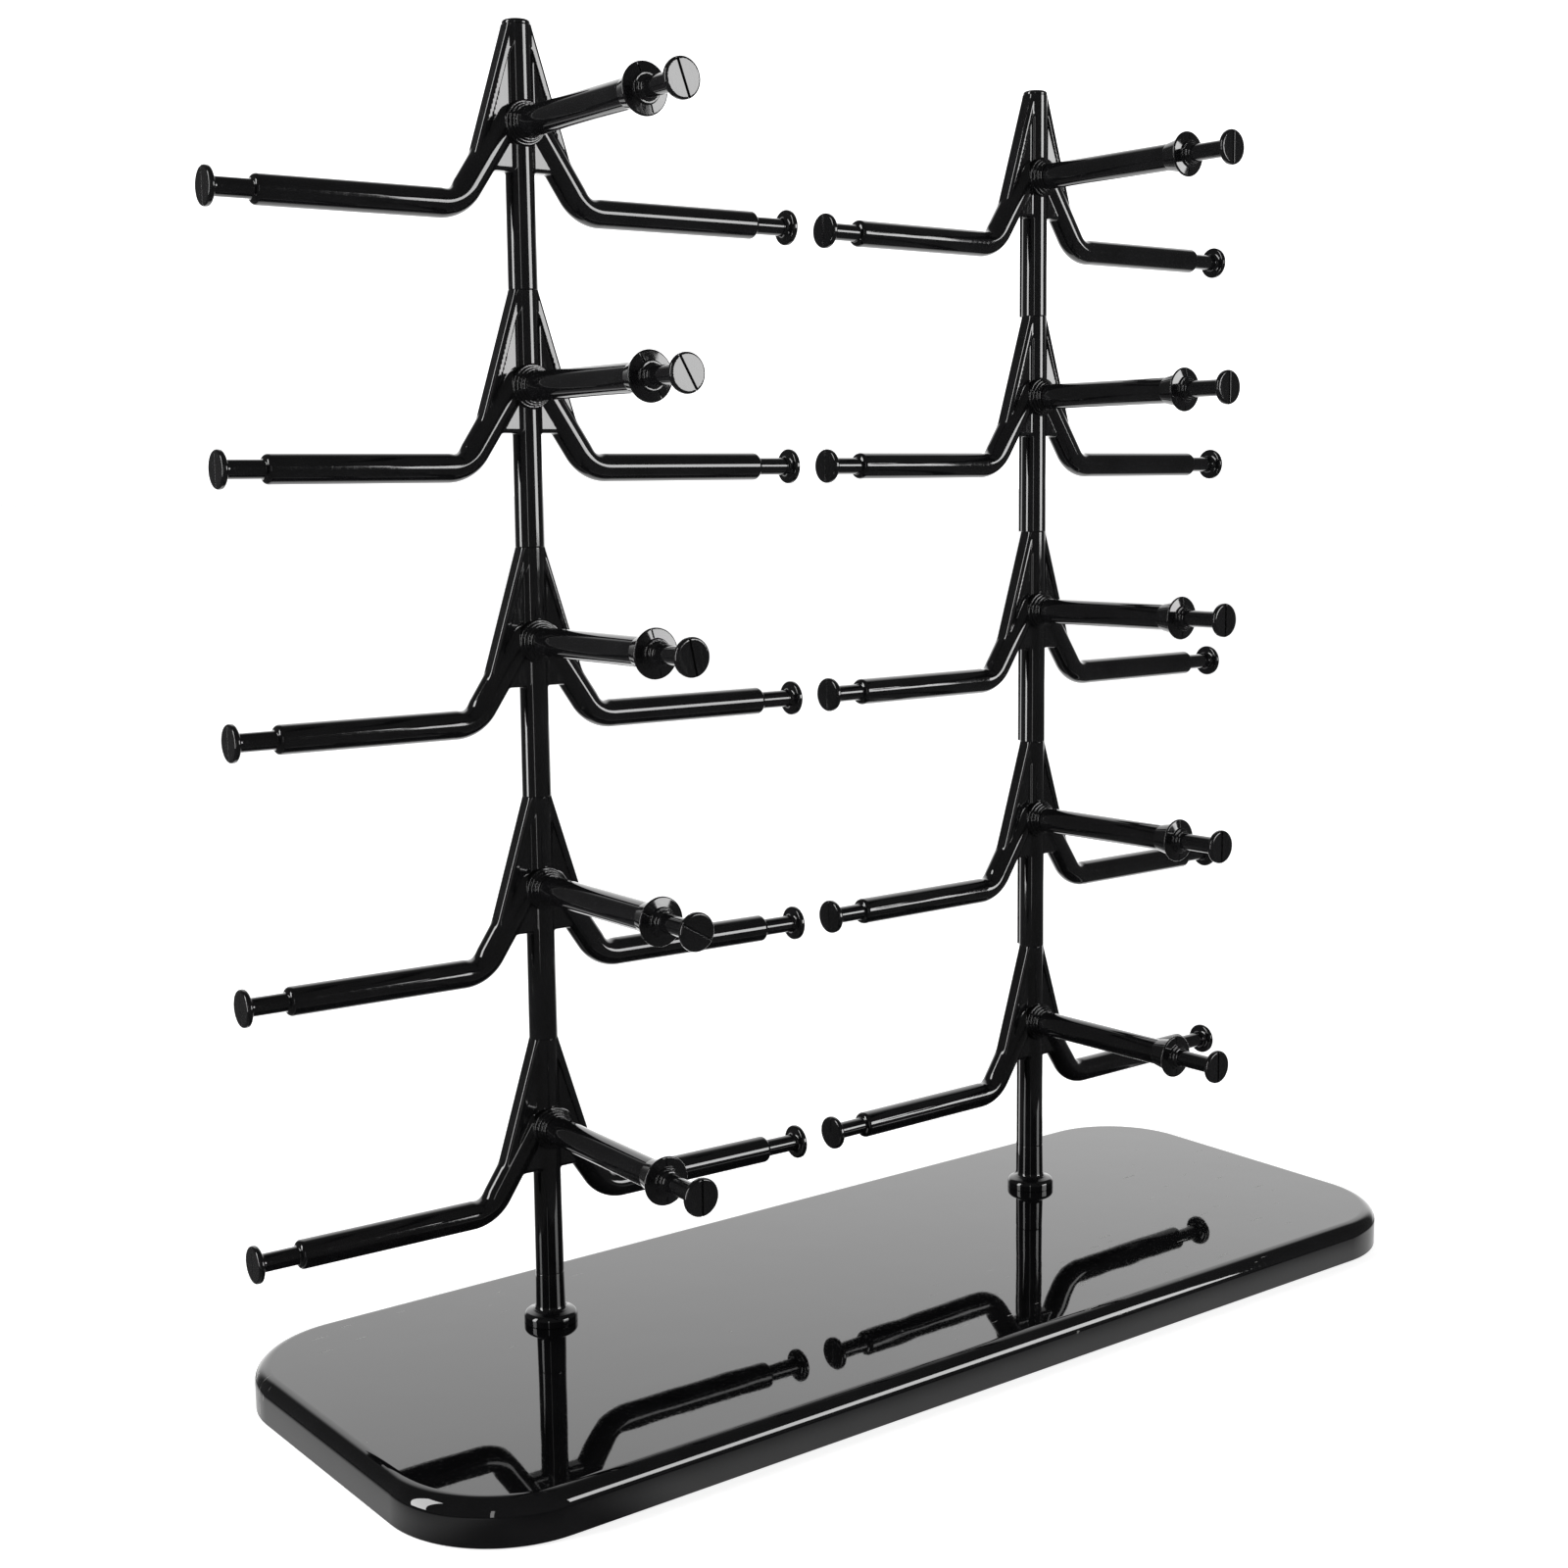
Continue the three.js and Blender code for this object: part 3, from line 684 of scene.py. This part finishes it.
def apply_modifiers(target):
    bpy.context.view_layer.update()
    shown = target.evaluated_get(bpy.context.evaluated_depsgraph_get())
    mesh = bpy.data.meshes.new_from_object(shown)
    target.modifiers.clear()
    target.data = mesh


def base_piece():
    """The base moulding, with its ribs, bosses and pad studs inside."""
    target = placed("base_shell_gloss", base_body(), Matrix.Identity(4))
    inside = BASE_TOP - WALL / 2
    half_y = BASE_DEPTH / 2 - WALL / 2
    rib = RIB_THICKNESS / 2
    post_y = post_place("left").y / MM
    combine(target, slab((-rib, -half_y, BASE_RIB_BOTTOM), (rib, half_y, inside)), "UNION")
    for side in SIDES:
        post_x = post_place(side).x / MM
        combine(target, cylinder(BOSS_RADIUS, BOSS_BOTTOM, inside, post_x, post_y), "UNION")
        low = (post_x - rib, post_y, BASE_RIB_BOTTOM)
        combine(target, slab(low, (post_x + rib, half_y, inside)), "UNION")
        for end in ENDS:
            x, y, _ = pad_place(end, side) / MM
            combine(target, cylinder(STUD_RADIUS, PAD_THICKNESS, inside, x, y), "UNION")
        floor = BOSS_BOTTOM + BOSS_FLOOR
        mortise = cylinder(TENON_RADIUS + FIT_GAP, floor, BASE_TOP + JOIN_OVERLAP, post_x, post_y)
        combine(target, mortise, "DIFFERENCE")
        screw_hole = cylinder(SCREW_CLEARANCE, 0, BASE_TOP, post_x, post_y)
        combine(target, screw_hole, "DIFFERENCE")
    target.data.name = "base_shell"
    target.data.shade_smooth()
    target.data.set_sharp_from_angle(angle=SHARP_ANGLE)
    weighted = target.modifiers.new("even", "WEIGHTED_NORMAL")
    weighted.keep_sharp = True
    weighted.weight = 100
    apply_modifiers(target)
    return target


# Places ------------------------------------------------------------------------------


def post_place(side):
    """A post's axis at ground level, from its pegs' joints."""
    x, y, _ = JOINTS[f"peg_{side}_1"]["pos_m"]
    return Vector((x, y, 0))


def post_turn(side):
    x, y, _ = JOINTS[f"peg_{side}_1"]["axis"]
    return Matrix.Rotation(math.atan2(x, -y), 4, "Z")


def pad_place(end, side):
    low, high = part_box(f"foot_pad_{end}_{side}")
    middle = (low + high) / 2
    return Vector((middle.x, middle.y, 0))


def placed(name, mesh, matrix):
    piece = bpy.data.objects.new(name, mesh)
    bpy.context.scene.collection.objects.link(piece)
    piece.matrix_world = matrix
    return piece


def dress(piece, node, body, material):
    """Gives a piece its material and stands it in for a CAD node."""
    piece.data.materials.clear()
    piece.data.materials.append(material)
    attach(piece, body)
    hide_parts(node)


# Materials ---------------------------------------------------------------------------


def new_material(name):
    material = bpy.data.materials.new(name)
    material.use_nodes = True
    tree = material.node_tree
    return material, tree, tree.nodes["Principled BSDF"]


def noise(tree, scale, detail=3.0, stretch=None):
    """A noise texture in the piece's own axes."""
    where = tree.nodes.new("ShaderNodeTexCoord")
    source = where.outputs["Object"]
    if stretch:
        mapping = tree.nodes.new("ShaderNodeMapping")
        mapping.inputs["Scale"].default_value = stretch
        tree.links.new(source, mapping.inputs["Vector"])
        source = mapping.outputs["Vector"]
    texture = tree.nodes.new("ShaderNodeTexNoise")
    texture.inputs["Scale"].default_value = scale
    texture.inputs["Detail"].default_value = detail
    tree.links.new(source, texture.inputs["Vector"])
    return texture


def ramp(tree, source, low, high, at_low=0.35, at_high=0.65):
    """A value that runs smoothly from low to high as the source goes from at_low to at_high."""
    node = tree.nodes.new("ShaderNodeMapRange")
    node.interpolation_type = "SMOOTHSTEP"
    node.inputs["From Min"].default_value = at_low
    node.inputs["From Max"].default_value = at_high
    node.inputs["To Min"].default_value = low
    node.inputs["To Max"].default_value = high
    tree.links.new(source, node.inputs["Value"])
    return node.outputs["Result"]


def calculate(tree, operation, first, second=None):
    node = tree.nodes.new("ShaderNodeMath")
    node.operation = operation
    tree.links.new(first, node.inputs[0])
    if second:
        tree.links.new(second, node.inputs[1])
    return node.outputs["Value"]


def bump(tree, height, distance, strength, under=None):
    node = tree.nodes.new("ShaderNodeBump")
    node.inputs["Distance"].default_value = distance
    node.inputs["Strength"].default_value = strength
    tree.links.new(height, node.inputs["Height"])
    if under:
        tree.links.new(under, node.inputs["Normal"])
    return node.outputs["Normal"]


def gloss_plastic(name, colour, roughness, waviness):
    """Black injection-moulded plastic: a flowing skin, fine scuffs and patchy gloss."""
    material, tree, shader = new_material(name)
    patches = noise(tree, scale=60, detail=4)
    colours = tree.nodes.new("ShaderNodeMix")
    colours.data_type = "RGBA"
    colours.inputs["A"].default_value = (*colour, 1)
    colours.inputs["B"].default_value = (*(channel * 1.5 for channel in colour), 1)
    tree.links.new(ramp(tree, patches.outputs["Fac"], 0, 1), colours.inputs["Factor"])
    tree.links.new(colours.outputs["Result"], shader.inputs["Base Color"])
    scuffs = noise(tree, scale=900, detail=5, stretch=(1, 1, 0.15))
    dull = ramp(tree, scuffs.outputs["Fac"], *roughness, at_low=0.45, at_high=0.75)
    tree.links.new(dull, shader.inputs["Roughness"])
    flow = noise(tree, scale=26, detail=2)
    skin = noise(tree, scale=1400, detail=2)
    wavy = bump(tree, flow.outputs["Fac"], distance=waviness, strength=1.0)
    normal = bump(tree, skin.outputs["Fac"], distance=0.001 * MM, strength=0.5, under=wavy)
    tree.links.new(normal, shader.inputs["Normal"])
    shader.inputs["IOR"].default_value = 1.5
    return material


def add_dust(material):
    """A few motes and short hairline scratches on an otherwise clean gloss."""
    tree = material.node_tree
    shader = tree.nodes["Principled BSDF"]
    where = tree.nodes.new("ShaderNodeTexCoord")
    cells = tree.nodes.new("ShaderNodeTexVoronoi")
    cells.inputs["Scale"].default_value = 75
    tree.links.new(where.outputs["Object"], cells.inputs["Vector"])
    near = ramp(tree, cells.outputs["Distance"], 1, 0, at_low=0.012, at_high=0.03)
    split = tree.nodes.new("ShaderNodeSeparateColor")
    tree.links.new(cells.outputs["Color"], split.inputs["Color"])
    chosen = ramp(tree, split.outputs["Red"], 0, 1, at_low=0.72, at_high=0.74)
    mote = calculate(tree, "MULTIPLY", near, chosen)
    streak = noise(tree, scale=70, detail=1, stretch=(1, 14, 1))
    line = ramp(tree, streak.outputs["Fac"], 0, 1, at_low=0.735, at_high=0.75)
    patch = noise(tree, scale=9, detail=1)
    scratched = ramp(tree, patch.outputs["Fac"], 0, 1, at_low=0.56, at_high=0.6)
    scratch = calculate(tree, "MULTIPLY", line, scratched)
    mark = calculate(tree, "MAXIMUM", mote, scratch)
    dust = (("Base Color", "RGBA", (0.32, 0.32, 0.31, 1)), ("Roughness", "FLOAT", 0.55))
    for socket, kind, value in dust:
        before = shader.inputs[socket].links[0].from_socket
        mix = tree.nodes.new("ShaderNodeMix")
        mix.data_type = kind
        tree.links.new(before, mix.inputs["A"])
        mix.inputs["B"].default_value = value
        tree.links.new(mark, mix.inputs["Factor"])
        tree.links.new(mix.outputs["Result"], shader.inputs[socket])


def rubber(name):
    """Dull black rubber with a fine grain."""
    material, tree, shader = new_material(name)
    grain = noise(tree, scale=1200, detail=6).outputs["Fac"]
    shader.inputs["Base Color"].default_value = (0.02, 0.02, 0.021, 1)
    tree.links.new(ramp(tree, grain, 0.65, 0.9), shader.inputs["Roughness"])
    relief = bump(tree, grain, distance=0.1 * MM, strength=0.6)
    tree.links.new(relief, shader.inputs["Normal"])
    return material


def zinc(name):
    """Plated steel, slightly mottled."""
    material, tree, shader = new_material(name)
    grain = noise(tree, scale=500, detail=5).outputs["Fac"]
    shader.inputs["Base Color"].default_value = (0.55, 0.56, 0.58, 1)
    shader.inputs["Metallic"].default_value = 1
    tree.links.new(ramp(tree, grain, 0.22, 0.42), shader.inputs["Roughness"])
    relief = bump(tree, grain, distance=0.02 * MM, strength=0.4)
    tree.links.new(relief, shader.inputs["Normal"])
    return material


# Camera and studio -------------------------------------------------------------------

# The camera's place, in metres. Headings and azimuths run from +Y towards +X.
CAMERA_PLACE = Vector((-0.46571, -0.56847, 0.29015))
CAMERA_HEADING = math.radians(37.250)
CAMERA_PITCH = math.radians(-7.898)
CAMERA_ROLL = math.radians(-0.657)
CAMERA_LENS = 49.63
SENSOR = 36.0
OBJECT_MIDDLE = Vector((0, 0, 0.2))

# Lights, in metres: name, azimuth and elevation in degrees, width and height, radiance
SOFTBOX_DISTANCE = 3.0
SOFTBOXES = (
    ("softbox_right", 146, 9, (1.3, 0.95), 11.5),
    ("softbox_left", 286, 15, (0.85, 3.0), 12),
    ("strip_near", 223, 6, (0.16, 2.0), 4),
)

# The backdrop: a lit wall behind the object, which fades out at its sides and top. WALL_SIDES
# are cosines of the angle from WALL_DIRECTION, and WALL_TOP are sines of the elevation.
WALL_DIRECTION = (0.605, 0.796, 0)
WALL_SIDES = (0.62, 0.92)
WALL_TOP = (0.55, 0.9)
WALL_LIGHT = 1.75
ROOM_LIGHT = 0.1

# The floor, in metres. What the gloss reflects of it is a bright rim round the base, which
# fades out over GLOW_REACH millimetres.
FLOOR_HALF = 60
FLOOR_LIFT = 0.75
NEAR_FLOOR_HALF = (0.238, 0.11)
GLOW_REACH = 30
GLOW_LIGHT = 0.87
DARK_SPOT = (-0.18, -0.075, 0)
DARK_SPOT_SIZES = (0.02, 0.055)
DARK_SPOT_LIGHT = 0.12


def aimed(azimuth, elevation):
    """The unit vector in that direction."""
    flat = math.cos(elevation)
    return Vector((math.sin(azimuth) * flat, math.cos(azimuth) * flat, math.sin(elevation)))


def camera():
    heading, roll = CAMERA_HEADING, CAMERA_ROLL
    forward = aimed(heading, CAMERA_PITCH)
    level = Vector((math.cos(heading), -math.sin(heading), 0))
    upright = level.cross(forward)
    right = math.cos(roll) * level + math.sin(roll) * upright
    up = math.cos(roll) * upright - math.sin(roll) * level
    turn = Matrix((right, up, -forward)).transposed().to_4x4()
    data = bpy.data.cameras.new("camera")
    data.lens = CAMERA_LENS
    data.sensor_width = SENSOR
    eye = bpy.data.objects.new("camera", data)
    bpy.context.scene.collection.objects.link(eye)
    eye.matrix_world = Matrix.Translation(CAMERA_PLACE) @ turn
    bpy.context.scene.camera = eye


def softbox(name, azimuth, elevation, size, radiance):
    """A rectangular white light that faces the object."""
    away = aimed(math.radians(azimuth), math.radians(elevation))
    data = bpy.data.lights.new(name, "AREA")
    data.shape = "RECTANGLE"
    data.size, data.size_y = size
    data.energy = radiance * size[0] * size[1] * math.pi
    light = bpy.data.objects.new(name, data)
    bpy.context.scene.collection.objects.link(light)
    turn = away.to_track_quat("Z", "Y").to_matrix().to_4x4()
    light.matrix_world = Matrix.Translation(OBJECT_MIDDLE + away * SOFTBOX_DISTANCE) @ turn


def vector_math(tree, operation, first, second=None):
    """A vector calculation on a socket and a constant."""
    node = tree.nodes.new("ShaderNodeVectorMath")
    node.operation = operation
    tree.links.new(first, node.inputs[0])
    if second:
        node.inputs[1].default_value = second
    return node.outputs["Value" if operation in ("DOT_PRODUCT", "DISTANCE") else "Vector"]


def backdrop():
    """A white studio wall and table behind the object, and a dim room on the near side."""
    world = bpy.data.worlds.new("studio")
    world.use_nodes = True
    bpy.context.scene.world = world
    tree = world.node_tree
    direction = tree.nodes.new("ShaderNodeTexCoord").outputs["Generated"]
    level = vector_math(tree, "MULTIPLY", direction, (1, 1, 0))
    level = vector_math(tree, "NORMALIZE", level)
    facing = vector_math(tree, "DOT_PRODUCT", level, WALL_DIRECTION)
    height = vector_math(tree, "DOT_PRODUCT", direction, (0, 0, 1))
    sides = ramp(tree, facing, 0, 1, *WALL_SIDES)
    top = ramp(tree, height, 1, 0, *WALL_TOP)
    wall = calculate(tree, "MULTIPLY", sides, top)
    light = ramp(tree, wall, ROOM_LIGHT, WALL_LIGHT, 0, 1)
    seen = tree.nodes.new("ShaderNodeLightPath")
    pick = tree.nodes.new("ShaderNodeMix")
    pick.data_type = "FLOAT"
    tree.links.new(seen.outputs["Is Camera Ray"], pick.inputs["Factor"])
    tree.links.new(light, pick.inputs["A"])
    pick.inputs["B"].default_value = WALL_LIGHT
    tree.links.new(pick.outputs["Result"], tree.nodes["Background"].inputs["Strength"])
    tree.nodes["Background"].inputs["Color"].default_value = (1, 1, 1, 1)


def white_floor():
    material, _, shader = new_material("floor")
    shader.inputs["Base Color"].default_value = (0.9, 0.9, 0.9, 1)
    shader.inputs["Roughness"].default_value = 0.9
    shader.inputs["Specular IOR Level"].default_value = 0
    shader.inputs["Emission Color"].default_value = (1, 1, 1, 1)
    shader.inputs["Emission Strength"].default_value = FLOOR_LIFT
    return material


def floor_glow():
    """Light from the floor next to the base, gone at GLOW_REACH."""
    material, tree, shader = new_material("floor_near")
    where = tree.nodes.new("ShaderNodeTexCoord").outputs["Object"]
    split = tree.nodes.new("ShaderNodeSeparateXYZ")
    tree.links.new(where, split.inputs["Vector"])
    fades = []
    for axis, half in (("X", BASE_LENGTH / 2), ("Y", BASE_DEPTH / 2)):
        size = calculate(tree, "ABSOLUTE", split.outputs[axis])
        fades.append(ramp(tree, size, 1, 0, half * MM, (half + GLOW_REACH) * MM))
    both = ramp(tree, calculate(tree, "MULTIPLY", *fades), 0, GLOW_LIGHT, 0, 1)
    # The near corner of the base reflects the dark side of the room.
    away = vector_math(tree, "DISTANCE", where, DARK_SPOT)
    spot = ramp(tree, away, DARK_SPOT_LIGHT, 1, *DARK_SPOT_SIZES)
    glow = calculate(tree, "MULTIPLY", both, spot)
    tree.links.new(glow, shader.inputs["Emission Strength"])
    shader.inputs["Base Color"].default_value = (0, 0, 0, 1)
    shader.inputs["Specular IOR Level"].default_value = 0
    shader.inputs["Emission Color"].default_value = (1, 1, 1, 1)
    return material


def floor_sheet(name, half_x, half_y, material):
    work = bmesh.new()
    size = Matrix.Diagonal((half_x, half_y, 1, 1))
    bmesh.ops.create_grid(work, x_segments=1, y_segments=1, size=1, matrix=size)
    sheet = placed(name, mesh_from(work, name), Matrix.Identity(4))
    sheet.data.materials.append(material)
    return sheet


def studio():
    bpy.context.scene.view_settings.view_transform = "Standard"
    backdrop()
    for settings in SOFTBOXES:
        softbox(*settings)
    # The whole floor takes the object's shadow, and only the near part shows in its gloss.
    whole = floor_sheet("floor", FLOOR_HALF, FLOOR_HALF, white_floor())
    whole.visible_glossy = False
    near = floor_sheet("floor_near", *NEAR_FLOOR_HALF, floor_glow())
    near.visible_camera = near.visible_diffuse = near.visible_shadow = False


# Assembly ----------------------------------------------------------------------------

camera()
studio()

column_plastic = gloss_plastic(
    "column_plastic", colour=(0.0032, 0.0032, 0.0035), roughness=(0.05, 0.12), waviness=0.12 * MM,
)
peg_plastic = gloss_plastic(
    "peg_plastic", colour=(0.0035, 0.0035, 0.0038), roughness=(0.05, 0.13), waviness=0.12 * MM,
)
base_plastic = gloss_plastic(
    "base_plastic", colour=(0.003, 0.003, 0.0033), roughness=(0.02, 0.06), waviness=0.08 * MM,
)
add_dust(base_plastic)
pad_rubber = rubber("pad_rubber")
screw_zinc = zinc("screw_zinc")

frame_shape, peg_shape, cap_shape = frame_mesh(), peg_mesh(), cap_mesh()
foot_shape, pad_shape, screw_shape = foot_mesh(), pad_mesh(), screw_mesh()

dress(base_piece(), "base_shell", ROOT_BODY, base_plastic)
for side in SIDES:
    upright = Matrix.Translation(post_place(side))
    column = upright @ post_turn(side)
    foot = placed(f"column_foot_{side}_gloss", foot_shape, column)
    dress(foot, f"column_foot_{side}", ROOT_BODY, column_plastic)
    screw = placed(f"column_screw_{side}_zinc", screw_shape, upright)
    dress(screw, f"column_screw_{side}", ROOT_BODY, screw_zinc)
    for end in ENDS:
        at_pad = Matrix.Translation(pad_place(end, side))
        pad = placed(f"foot_pad_{end}_{side}_rubber", pad_shape, at_pad)
        dress(pad, f"foot_pad_{end}_{side}", ROOT_BODY, pad_rubber)
    for tier in TIERS:
        node = f"peg_{side}_{tier}"
        peg_height = JOINTS[node]["pos_m"][2]
        at_arms = Matrix.Translation((0, 0, peg_height - PEG_ABOVE_ARM * MM))
        moulding = placed(f"tier_frame_{side}_{tier}_gloss", frame_shape, column @ at_arms)
        dress(moulding, f"tier_frame_{side}_{tier}", ROOT_BODY, column_plastic)
        roll = Matrix.Rotation(math.radians(-PEG_ROLLS[side][tier - 1]), 4, "Y")
        at_peg = Matrix.Translation((0, 0, peg_height))
        pin = placed(f"{node}_gloss", peg_shape, column @ at_peg @ roll)
        dress(pin, node, node, peg_plastic)
        if tier == 1:
            cap = placed(f"top_cap_{side}_gloss", cap_shape, column @ at_arms)
            dress(cap, f"top_cap_{side}", ROOT_BODY, column_plastic)
